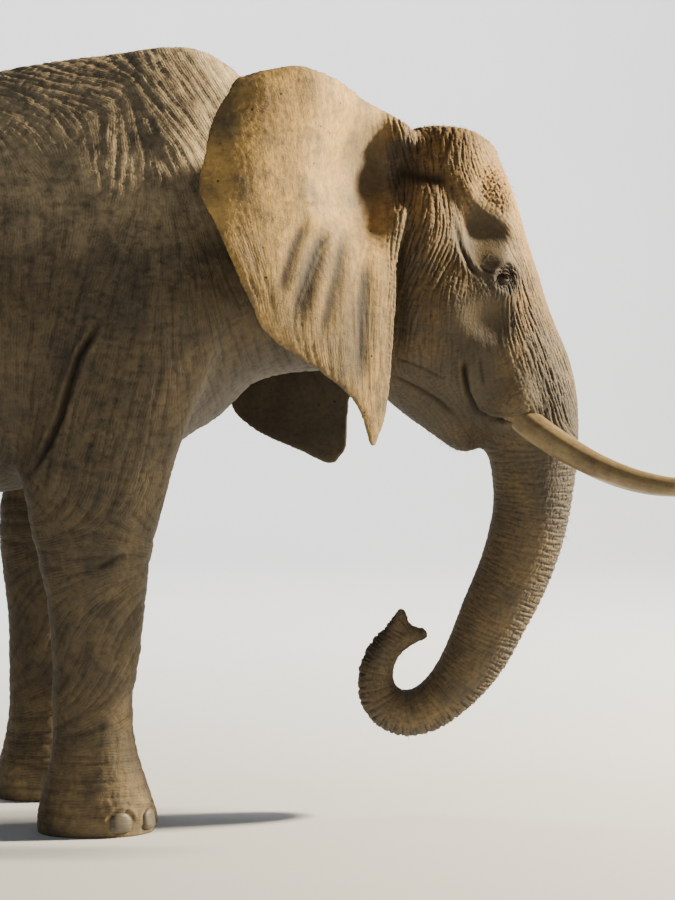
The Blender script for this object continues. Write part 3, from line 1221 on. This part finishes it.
def shape_eye(mesh, side):
    """Lids drawn round the eyeball, with their folds, and the skin between them sunk behind it."""
    points, normals, _ = arrays(mesh)
    middle, ahead, up, out = eye_frame(points, normals, side)
    local = points - middle
    chosen = np.flatnonzero((np.linalg.norm(local, axis=1) < LID_HIDE) & (local @ out > -LID_BEHIND))
    local = local[chosen]
    a, b, c = local @ ahead, local @ up, local @ out
    gap = lid_gap(a, b)
    ball = np.sqrt(np.clip((EYE_RADIUS + LID_THICK) ** 2 - a**2 - b**2, 0, None))
    socket = 1 - ease(np.hypot(a, b), 0.020, 0.050)
    height = c - EYE_DEPTH * socket
    height = np.where(ball > height, ball, height)
    upper = ease(b, -0.004, 0.006)
    for distance, width, above, below in LID_FOLDS:
        ring = np.exp(-(((gap - distance) / width) ** 2)) * (1 - ease(np.abs(a), 0.030, 0.050))
        height -= ring * (above * upper + below * (1 - upper))
    height += LID_EDGE * np.exp(-(((gap - 1.5 * MM) / (1.6 * MM)) ** 2))
    brow = np.exp(-(((np.hypot(a, b) - BROW_REACH) / BROW_WIDTH) ** 2))
    height += brow * (BROW_BELOW + (BROW_ABOVE - BROW_BELOW) * ease(b, -0.02, 0.02))
    height = np.where(gap < 0, SUNK * EYE_RADIUS, height)
    points[chosen] += out * (height - c)[:, None]
    put_points(mesh, points)


def eyeball(word, points, normals):
    """A glossy ball with a clear bulge at the front, turned to look where the lids open."""
    middle, ahead, up, out = eye_frame(points, normals, SIDES[word])
    mesh = bpy.data.meshes.new(f"eyeball_{word}")
    with editing(mesh) as work:
        bmesh.ops.create_uvsphere(work, u_segments=64, v_segments=48, radius=EYE_RADIUS)
        for corner in work.verts:
            off = math.hypot(corner.co.x, corner.co.y) / IRIS_RADIUS
            if corner.co.z > 0 and off < 1:
                corner.co.z += CORNEA * (1 - off * off)
    mesh.shade_smooth()
    made = in_scene(mesh.name, mesh)
    turn = Matrix((ahead, up, out)).transposed().to_4x4()
    if turn.determinant() < 0:
        turn = Matrix((-ahead, up, out)).transposed().to_4x4()
    made.matrix_world = Matrix.Translation(Vector(middle)) @ turn
    return made


# ---------------------------------------------------------------- tusks and toenails


def tusk(word):
    """A round tapering tusk with faint growth grooves and a worn tip."""
    rows = np.asarray(TUSK, float)
    reach = np.concatenate([[0], np.cumsum(np.linalg.norm(np.diff(rows[:, :3], axis=0), axis=1))])
    rows = spline(np.column_stack([reach, rows]), np.linspace(0, reach[-1], TUSK_RINGS))
    rows[:, 2] -= TUSK_DROOP[word] * ease(rows[:, 0], 1.30, 1.90)
    directions = unit(np.gradient(rows[:, :3], axis=0))
    around = 2 * math.pi * np.arange(TUSK_POINTS) / TUSK_POINTS
    rings = []
    for k, ((x, y, z, radius), direction) in enumerate(zip(rows, directions)):
        up = unit(np.cross(direction, Y_AXIS))
        across = np.cross(up, direction)
        groove = 1 + TUSK_GROOVES * np.sin(5 * around + 0.02 * k) * np.sin(0.09 * k)
        groove += TUSK_RIPPLE * np.sin(13 * around)
        section = np.outer(np.cos(around), up) + np.outer(np.sin(around), across)
        rings.append((x, y, z) + radius * groove[:, None] * section)
    made = new_object(f"tusk_{word}_ivory", loft(np.array(rings) * (1, SIDES[word], 1)))
    made.data.shade_smooth()
    return made


def nail_places():
    """(middle, way out, way across) of every toenail."""
    places = []
    for limb, side in STEPS:
        x, front, _, y, width = leg_section(limb, side, NAIL_HEIGHT)
        for degrees in NAILS[limb]:
            angle = math.radians(degrees)
            outward = np.array((math.cos(angle), math.sin(angle), 0))
            middle = np.array((x, y, NAIL_HEIGHT)) + outward * (front, width, 0)
            places.append((middle, outward, np.cross(Z_AXIS, outward)))
    return places


def nail(middle, outward, across):
    """(points, faces) of one nail: a curved shield, round above and straight along the ground."""
    rings = []
    angle = 2 * math.pi * np.arange(RING_POINTS) / RING_POINTS
    cosine, sine = np.cos(angle), np.sin(angle)
    square = np.where(sine < 0, NAIL_SQUARE, 1)
    for share in np.linspace(0.02, 1, 12):
        wide = NAIL_HALF_WIDTH * share * np.sign(cosine) * np.abs(cosine) ** square
        tall = NAIL_HALF_HEIGHT * share * np.sign(sine) * np.abs(sine) ** square
        proud = NAIL_PROUD * (1 - 0.25 * share**2 - 0.75 * share**8)
        proud = proud - wide**2 / (2 * FOOT_ROUND) - 0.14 * tall
        rings.append(middle + np.outer(proud, outward) + np.outer(wide, across) + np.outer(tall, Z_AXIS))
    rings.append(rings[-1] - outward * NAIL_ROOT)
    return loft(rings)


def toenails():
    made = new_object("toenails", *(nail(*place) for place in nail_places()))
    made.data.shade_smooth()
    return made


def seat_nails(mesh):
    """The skin swollen into a cuticle round every nail."""
    points, normals, _ = arrays(mesh)
    low = np.flatnonzero(points[:, 2] < CUTICLE_TOP)
    height = np.zeros(len(low))
    for middle, outward, across in nail_places():
        local = points[low] - middle
        tall = local[:, 2] / NAIL_HALF_HEIGHT
        off = np.hypot(local @ across / NAIL_HALF_WIDTH, tall)
        here = (np.abs(local @ outward) < 0.04) * ease(tall, -0.5, 0.3)
        height += here * CUTICLE * np.exp(-(((off - 1.45) / 0.22) ** 2))
        height -= here * NAIL_GROOVE * np.exp(-(((off - 1.12) / 0.1) ** 2))
    points[low] += normals[low] * (height * off_floor(points[low]))[:, None]
    put_points(mesh, points)


# ---------------------------------------------------------------- hair


def strands(name, roots, ways, sags, lengths, radius, unwrapped, segments=5):
    """Hairs as thin three-sided spikes in one mesh, each with a small patch of OFBake at its root's place."""
    t = np.linspace(0, 1, segments + 1)[None, :, None]
    spine = roots[:, None] + lengths[:, None, None] * (ways[:, None] * t + sags[:, None] * t**2)
    aside = unit(np.cross(ways, unit(ways[:, [1, 2, 0]] + (0.3, 0.1, 0.2))))
    other = unit(np.cross(ways, aside))
    thick = radius[:, None, None] * (1 - 0.9 * t**1.5)
    sides = []
    for angle in (0, 2 * math.pi / 3, 4 * math.pi / 3):
        sides.append(spine + thick * (math.cos(angle) * aside + math.sin(angle) * other)[:, None])
    points = np.stack(sides, axis=2).reshape(-1, 3)
    hair = np.array([
        (3 * k + i, 3 * k + (i + 1) % 3, 3 * k + 3 + (i + 1) % 3, 3 * k + 3 + i)
        for k in range(segments)
        for i in range(3)
    ])
    firsts = 3 * (segments + 1) * np.arange(len(roots))
    mesh = bpy.data.meshes.new(name)
    mesh.from_pydata(points.tolist(), [], (firsts[:, None, None] + hair).reshape(-1, 4).tolist())
    spots = np.array([(i / 3, k / segments) for k in range(segments + 1) for i in range(3)])
    patches = (unwrapped[:, None] + PATCH * spots).reshape(-1, 2)
    corners = np.empty(len(mesh.loops), np.int32)
    mesh.loops.foreach_get("vertex_index", corners)
    layer = mesh.uv_layers.new(name="OFBake")
    layer.data.foreach_set("uv", patches[corners].astype(np.float32).ravel())
    mesh.shade_smooth()
    return in_scene(name, mesh)


def tail_hair(random):
    """The stiff hairs at the end of the tail, rooted along its two edges."""
    height = TAIL_HAIR_TOP - (TAIL_HAIR_TOP - TAIL_END) * random.random(TAIL_HAIRS) ** 0.7
    rows = spline(sorted([(z, x, r) for x, z, r in TAIL]), height)
    angle = random.choice([0, math.pi], TAIL_HAIRS) + random.normal(0, 0.55, TAIL_HAIRS)
    level = np.zeros(TAIL_HAIRS)
    outward = np.column_stack([np.cos(angle), np.sin(angle), level])
    roots = np.column_stack([rows[:, 0], level, height]) + outward * rows[:, 1:] * 0.8
    spread_out = outward * random.uniform(0.02, 0.12, (TAIL_HAIRS, 1))
    ways = unit(spread_out - Z_AXIS + random.normal(0, 0.05, (TAIL_HAIRS, 3)))
    sags = -0.03 * outward + random.normal(0, 0.03, (TAIL_HAIRS, 3))
    lengths = random.uniform(0.55, 1.0, TAIL_HAIRS) * (roots[:, 2] - TAIL_HAIR_LOW)
    radius = random.uniform(0.7, 1.3, TAIL_HAIRS) * MM
    unwrapped = np.column_stack([(TAIL_HAIR_TOP - height) * 2 + 0.05, (angle + 1.6) / 7 + 0.05])
    return strands("tail_hair", roots, ways, sags, np.clip(lengths, 0.05, 0.36), radius, unwrapped)


def body_unwrap(points):
    """Along the body and round it, both from 0 to 1."""
    low, high = points[:, 0].min(), points[:, 0].max()
    along = 0.02 + 0.95 * (points[:, 0] - low) / (high - low)
    around = 0.5 + 0.48 * np.arctan2(points[:, 1], points[:, 2] - 1.4) / math.pi
    return np.column_stack([along, around])


def bristles(random, points, normals):
    """Sparse short hairs on the crown, forehead, back, chin and trunk."""
    x, _, z = points.T
    density = 0.02 * (z > 0.3)
    density += ease(normals[:, 2], 0.35, 0.9) * ease(z, 1.9, 2.1)
    density += 0.9 * (x > 0.95) * ease(z, 1.75, 2.0)
    density += 1.2 * bump(apart(points, CHIN_AT, CHIN_REACH))
    density += 0.5 * trunk_place(points)[0] * (normals[:, 0] > 0)
    density *= 1 - ear_share(points)
    density *= np.where(x > FINE_FROM, 0.25, 1.0)
    chosen = random.choice(len(points), BRISTLES, replace=False, p=density / density.sum())
    roots, outward = points[chosen], normals[chosen]
    lie = unit(BRISTLE_LIE - outward * (outward @ BRISTLE_LIE)[:, None])
    lying = outward + lie * random.uniform(0.2, 1.2, (BRISTLES, 1))
    ways = unit(lying + random.normal(0, 0.25, (BRISTLES, 3)))
    sags = np.tile(-0.15 * Z_AXIS, (BRISTLES, 1))
    lengths = random.uniform(0.008, 0.024, BRISTLES)
    radius = random.uniform(0.35, 0.6, BRISTLES) * MM
    return strands("bristles", roots - outward * MM, ways, sags, lengths, radius, body_unwrap(roots), 3)


def lashes(random, points, normals):
    """Long hairs along both upper lids."""
    roots, ways = [], []
    for side in SIDES.values():
        middle, ahead, up, out = eye_frame(points, normals, side)
        share = np.linspace(-0.9, 0.95, LASHES)
        a = share * LID_HALF_LENGTH
        b = LID_UPPER * (1 - share**2) ** 0.8 + 1.5 * MM
        c = np.sqrt((EYE_RADIUS + LID_THICK) ** 2 - a**2 - b**2)
        roots.append(middle + np.outer(a, ahead) + np.outer(b, up) + np.outer(c, out))
        fan = np.outer(0.35 * share + 0.15, ahead) + out - 0.55 * up
        ways.append(unit(fan + random.normal(0, 0.08, (LASHES, 3))))
    roots, ways = np.concatenate(roots), np.concatenate(ways)
    count = len(roots)
    sags = np.tile(-0.35 * Z_AXIS, (count, 1))
    unwrapped = np.column_stack([np.linspace(0.05, 0.9, count), np.full(count, 0.5)])
    lengths = random.uniform(0.022, 0.040, count)
    return strands("lashes", roots, ways, sags, lengths, np.full(count, 0.5 * MM), unwrapped)


# ---------------------------------------------------------------- materials


class Nodes:
    """A material's node tree, built one node at a time."""

    def __init__(self, name):
        self.material = bpy.data.materials.new(name)
        self.material.use_nodes = True
        self.tree = self.material.node_tree
        self.shader = self.tree.nodes["Principled BSDF"]

    def add(self, kind, inputs=None, **settings):
        node = self.tree.nodes.new(f"ShaderNode{kind}")
        for name, value in settings.items():
            setattr(node, name, value)
        for key, value in (inputs or {}).items():
            self.put(node.inputs[key], value)
        return node

    def put(self, socket, value):
        if isinstance(value, bpy.types.NodeSocket):
            self.tree.links.new(value, socket)
        else:
            socket.default_value = value

    def maths(self, operation, a, b, clamp=False):
        return self.add("Math", {0: a, 1: b}, operation=operation, use_clamp=clamp).outputs[0]

    def times(self, a, b, clamp=False):
        return self.maths("MULTIPLY", a, b, clamp)

    def mix(self, share, a, b, blend="MIX"):
        node = self.add("Mix", {0: share, 6: a, 7: b}, data_type="RGBA", blend_type=blend)
        return node.outputs[2]

    def noise(self, place, scale, detail=4.0, roughness=0.6):
        inputs = {"Vector": place, "Scale": scale, "Detail": detail, "Roughness": roughness}
        return self.add("TexNoise", inputs).outputs[0]

    def stretched(self, place, scale):
        return self.add("Mapping", {"Vector": place, "Scale": scale}).outputs[0]

    def ramp(self, value, low, high):
        return self.add("MapRange", {"Value": value, "From Min": low, "From Max": high}).outputs[0]

    def attribute(self, name):
        return self.add("Attribute", attribute_name=name).outputs["Fac"]

    def vectors(self, name):
        return self.add("Attribute", attribute_name=name).outputs["Vector"]

    def waves(self, place, across, spacing, run):
        """Valleys `spacing` apart and about `run` long, square to `across`: 0 in them, 1 between."""
        inputs = {"Vector": place, "Scale": 1 / run, "Frequency": run / spacing, 5: across}
        return self.ramp(self.add("TexGabor", inputs, gabor_type="3D").outputs["Value"], 0.26, 0.50)

    def place(self):
        return self.add("TexCoord").outputs["Object"]

    def finish(self, colour, roughness, bump_height=None, distance=1 * MM, strength=1.0):
        self.put(self.shader.inputs["Base Color"], colour)
        self.put(self.shader.inputs["Roughness"], roughness)
        if bump_height is not None:
            bumped = self.add("Bump", {"Height": bump_height, "Distance": distance, "Strength": strength})
            self.put(self.shader.inputs["Normal"], bumped.outputs[0])
        return self.material


def skin_material():
    """Grey-brown hide under ochre dust, darker in its creases, with a fine network of cracks."""
    nodes = Nodes("hide")
    place = nodes.place()
    wide = nodes.noise(place, 1.4, 3.0)
    patch = nodes.noise(place, 9.0, 5.0)
    swells = nodes.noise(place, 26.0, 6.0, 0.7)
    fine = nodes.noise(place, 70.0, 3.0)
    narrow = nodes.attribute("narrow")

    # the hide and the dust on it
    colour = nodes.mix(nodes.ramp(wide, 0.35, 0.65), GREY_HIDE, BROWN_HIDE)
    colour = nodes.mix(nodes.times(nodes.ramp(patch, 0.20, 0.60), nodes.attribute("pale")), colour, PALE_HIDE)
    colour = nodes.mix(nodes.times(nodes.attribute("dust"), nodes.ramp(patch, 0.15, 0.60)), colour, DUST)
    colour = nodes.mix(nodes.attribute("tan"), colour, TAN, "MULTIPLY")
    colour = nodes.mix(nodes.times(nodes.ramp(swells, 0.46, 0.66), 0.50), colour, BROWN_HIDE)
    colour = nodes.mix(nodes.times(nodes.ramp(fine, 0.45, 0.75), 0.35), colour, DARK_HIDE)

    # flecks on the ears
    cells = nodes.add("TexVoronoi", {"Vector": place, "Scale": 30.0}, feature="F1").outputs["Distance"]
    spots = nodes.times(nodes.ramp(cells, 0.15, 0.09), nodes.attribute("spots"), clamp=True)
    spots = nodes.times(spots, nodes.ramp(nodes.noise(place, 16.0, 2.0), 0.52, 0.60))
    colour = nodes.mix(spots, colour, DARK_HIDE)

    # creases, and the narrowest folds
    colour = nodes.mix(nodes.times(nodes.attribute("crease"), 0.90), colour, CREASE_HIDE)
    swirl = nodes.add("TexNoise", {"Vector": place, "Scale": 11.0, "Detail": 2.0}).outputs["Color"]
    bend = {0: swirl, 1: (22 * MM, 22 * MM, 22 * MM), 2: place}
    bent = nodes.add("VectorMath", bend, operation="MULTIPLY_ADD").outputs[0]
    waves = nodes.waves(bent, nodes.vectors("across"), 9 * MM, 42 * MM)
    shade = nodes.times(nodes.maths("SUBTRACT", 1.0, waves), nodes.times(narrow, 0.40))
    colour = nodes.mix(shade, colour, CREASE_HIDE)

    # relief
    edges = nodes.add("TexVoronoi", {"Vector": place, "Scale": 95.0}, feature="DISTANCE_TO_EDGE")
    height = nodes.times(nodes.ramp(edges.outputs["Distance"], 0.0, 0.16), 0.5)
    for part in (
        nodes.times(nodes.noise(place, 260.0, 2.0), 0.3),
        nodes.times(swells, 1.6),
        nodes.times(waves, nodes.times(narrow, 1.7)),
    ):
        height = nodes.maths("ADD", height, part)
    roughness = nodes.maths("ADD", nodes.times(patch, 0.25), 0.62)
    nodes.shader.inputs["Specular IOR Level"].default_value = 0.35
    return nodes.finish(colour, roughness, height, 0.8 * MM, 0.7)


def ivory_material():
    """Stained ivory with a grain and fine cracks along it."""
    nodes = Nodes("ivory")
    place = nodes.place()
    grain = nodes.noise(nodes.stretched(place, (3.0, 22.0, 22.0)), 9.0, 4.0)
    stain = nodes.noise(place, 11.0, 5.0, 0.7)
    colour = nodes.mix(nodes.ramp(stain, 0.32, 0.66), IVORY, STAINED_IVORY)
    colour = nodes.mix(nodes.times(nodes.ramp(grain, 0.55, 0.72), 0.5), colour, CRACKED_IVORY)
    roughness = nodes.maths("ADD", nodes.times(stain, 0.2), 0.28)
    return nodes.finish(colour, roughness, grain, 0.5 * MM, 0.5)


def nail_material():
    """Horn with level growth lines."""
    nodes = Nodes("toenail")
    growth = nodes.noise(nodes.stretched(nodes.place(), (1.0, 1.0, 9.0)), 30.0, 3.0)
    colour = nodes.mix(nodes.ramp(growth, 0.35, 0.70), NAIL_DARK, NAIL_PALE)
    return nodes.finish(colour, 0.55, growth, 0.6 * MM, 0.6)


def hair_material():
    nodes = Nodes("hair")
    tone = nodes.noise(nodes.place(), 60.0, 2.0)
    return nodes.finish(nodes.mix(tone, HAIR_DARK, HAIR_BROWN), 0.48)


def eye_material():
    """Brown iris with a dark pupil and a darker white, by distance from the middle of the gaze."""
    nodes = Nodes("eye")
    place = nodes.place()
    flat = nodes.add("VectorMath", {0: place, 1: (1.0, 1.0, 0.0)}, operation="MULTIPLY").outputs[0]
    off = nodes.add("VectorMath", {0: flat}, operation="LENGTH").outputs["Value"]
    rays = nodes.noise(place, 900.0, 3.0)
    iris = nodes.mix(rays, IRIS_DARK, IRIS_LIGHT)
    colour = nodes.mix(nodes.ramp(off, PUPIL_RADIUS, PUPIL_RADIUS + 0.8 * MM), PUPIL, iris)
    colour = nodes.mix(nodes.ramp(off, IRIS_RADIUS - 0.6 * MM, IRIS_RADIUS + 0.6 * MM), colour, EYE_WHITE)
    nodes.shader.inputs["Coat Weight"].default_value = 1.0
    return nodes.finish(colour, 0.12)


# ---------------------------------------------------------------- colour of the hide


def upward(points, normals):
    """1 on the hide of the back and crown that faces up."""
    return ease(normals[:, 2], -0.15, 0.35) * ease(points[:, 2], 1.6, 2.0) * (1 - ear_share(points))


def weathered(points, normals):
    """1 where back and shoulders face up, less on the crown: the palest hide, with the faintest creases."""
    return upward(points, normals) * (1 - 0.80 * ease(points[:, 0], 0.75, 0.95))


def tan(points):
    """How brown the hide is: most on the head, less down the trunk, little on the ears."""
    ear = ear_share(points)
    head = ease(points[:, 0], 0.75, 1.05) * (0.35 + 0.65 * ease(points[:, 2], 1.2, 1.6))
    return head * (1 - ear) + 0.3 * ear


def dust(points, normals):
    """Where the ochre dust lies: on the ears, crown, face and trunk, and on whatever faces up."""
    x, y, z = points.T
    ahead, outward, up = normals[:, 0], normals[:, 1] * np.sign(y), normals[:, 2]
    ear = ear_share(points)
    amount = DUST_BASE + DUST_UP * upward(points, normals)
    amount += DUST_FOREHEAD * bump(apart(points, FOREHEAD_AT, FOREHEAD_REACH))
    amount += DUST_FACE * ease(ahead, 0.2, 0.8) * ease(z, 1.20, 1.45) * (x > 1.1)
    amount += DUST_FEET * (1 - ease(z, 0.1, 0.5))
    amount -= DUST_UNDER * ease(-up, 0.3, 0.9)
    amount += DUST_EARS * ear * ease(outward, -0.2, 0.4)
    for share, stains in ((ear, EAR_STAINS), (1 - ear, HEAD_STAINS)):
        for *place, loss in stains:
            amount -= loss * share * side_bump(points, *place)
    return np.clip(amount, 0, 1)


# ---------------------------------------------------------------- stage


def add_camera():
    data = bpy.data.cameras.new("camera")
    data.lens = LENS
    data.sensor_width = SENSOR
    camera = in_scene("camera", data)
    camera.location = Vector(CAMERA_AT) + SHIFT
    camera.rotation_euler = (math.pi / 2 - CAMERA_TILT, 0, 0)
    bpy.context.scene.camera = camera


def add_light(name, at, aim, size, power, colour):
    data = bpy.data.lights.new(name, "AREA")
    data.shape = "DISK"
    data.size = size
    data.energy = power
    data.color = colour
    lamp = in_scene(name, data)
    lamp.location = at
    lamp.rotation_euler = (Vector(aim) - Vector(at)).to_track_quat("-Z", "Y").to_euler()


def add_floor():
    """A pale floor that sweeps up far behind into the backdrop."""
    profile = [(FLOOR_NEAR, 0)]
    for angle in np.linspace(0, math.pi / 2, 17):
        profile.append((FLOOR_FAR + SWEEP * math.sin(angle), SWEEP - SWEEP * math.cos(angle)))
    mesh = bpy.data.meshes.new("floor")
    with editing(mesh) as work:
        rows = [[work.verts.new((x, y, z)) for x in (-FLOOR_HALF, FLOOR_HALF)] for y, z in profile]
        for (a, b), (c, d) in zip(rows, rows[1:]):
            work.faces.new((a, b, d, c))
    mesh.shade_smooth()
    floor = in_scene("floor", mesh)
    nodes = Nodes("floor")
    tone = nodes.noise(nodes.place(), 0.6, 3.0)
    floor.data.materials.append(nodes.finish(nodes.mix(tone, FLOOR_DARK, FLOOR_PALE), 0.9))


def add_world():
    world = bpy.data.worlds.new("studio")
    world.use_nodes = True
    background = world.node_tree.nodes["Background"]
    background.inputs["Color"].default_value = SKY
    background.inputs["Strength"].default_value = SKY_STRENGTH
    bpy.context.scene.world = world


# ---------------------------------------------------------------- all together


def make_skin():
    """One closed skin over body and ears, wrinkled, with its finest faces round the eyes."""
    body = base_form()
    ears = [new_object("ear", ear(rows, side)) for side, rows in ((-1, RIGHT_EAR), (1, LEFT_EAR))]
    skin = join("skin", [body, *ears])
    remesh(skin, SKIN_VOXEL)
    mesh = skin.data
    flatten_soles(mesh)
    root = bump(apart(arrays(mesh)[0], EAR_ROOT_AT, EAR_ROOT_REACH))
    smooth(mesh, lambda at: 0.5 * (at[:, 2] > 0.01), 3)
    smooth(mesh, lambda at: 0.5 * np.sqrt(root), EAR_ROOT_ROUNDS)
    split_faces(mesh, lambda at: (at[:, 0] > FINE_FROM) & (ear_share(at) < 0.5))
    smooth(mesh, lambda at: 0.5 * (at[:, 0] > FINE_FROM - 0.02), 2)
    wrinkle(mesh)
    for reach in EYE_SPLITS:
        split_faces(mesh, lambda at, reach=reach: apart(at, EYE_AT) < reach)
    smooth(mesh, lambda at: 0.5 * (apart(at, EYE_AT) < EYE_SPLITS[0]), 3)
    return skin


def main():
    """Every piece made, given its material, body, slot and nodes, and set on the stage."""
    random = np.random.default_rng(SEED)
    skin = make_skin()
    points, normals, _ = arrays(skin.data)
    eyes = [eyeball(word, points, normals) for word in SIDES]
    lash = lashes(random, points, normals)
    for side in SIDES.values():
        shape_eye(skin.data, side)
    seat_nails(skin.data)
    skin.data.shade_smooth()
    points, normals, _ = arrays(skin.data)
    set_attribute(skin.data, "dust", dust(points, normals))
    set_attribute(skin.data, "spots", ear_share(points))
    set_attribute(skin.data, "pale", 0.10 + 0.90 * weathered(points, normals))
    set_attribute(skin.data, "tan", tan(points))
    tusks = [tusk(word) for word in SIDES]
    nails = toenails()
    tuft = tail_hair(random)
    short = bristles(random, points, normals)
    for slot, material, things in (
        ("skin", skin_material(), [skin]),
        ("eye", eye_material(), eyes),
        ("ivory", ivory_material(), tusks),
        ("skin", nail_material(), [nails]),
        ("hair", hair_material(), [tuft, short, lash]),
    ):
        for thing in things:
            thing.data.materials.clear()
            thing.data.materials.append(material)
            thing.location += SHIFT
            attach(thing, "root")
    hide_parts(*FLESH)
    for word, eye, ivory in zip(SIDES, eyes, tusks):
        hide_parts(f"eye_{word}")
        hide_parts(f"tusk_{word}")
    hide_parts("tail_tuft")
    add_floor()
    add_world()
    add_camera()
    for light in LIGHTS:
        add_light(*light)
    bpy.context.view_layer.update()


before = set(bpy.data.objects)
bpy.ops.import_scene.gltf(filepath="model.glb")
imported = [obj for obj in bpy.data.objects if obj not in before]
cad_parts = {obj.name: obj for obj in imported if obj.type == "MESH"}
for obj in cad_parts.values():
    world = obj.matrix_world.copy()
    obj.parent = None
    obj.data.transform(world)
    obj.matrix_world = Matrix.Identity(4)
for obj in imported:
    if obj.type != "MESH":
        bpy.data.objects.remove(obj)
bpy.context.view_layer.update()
EYE_LOW, EYE_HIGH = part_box("eye_right")
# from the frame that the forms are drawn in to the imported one
SHIFT = (EYE_LOW + EYE_HIGH) / 2 - Vector((EYE_AT[0], -EYE_AT[1], EYE_AT[2]))
main()
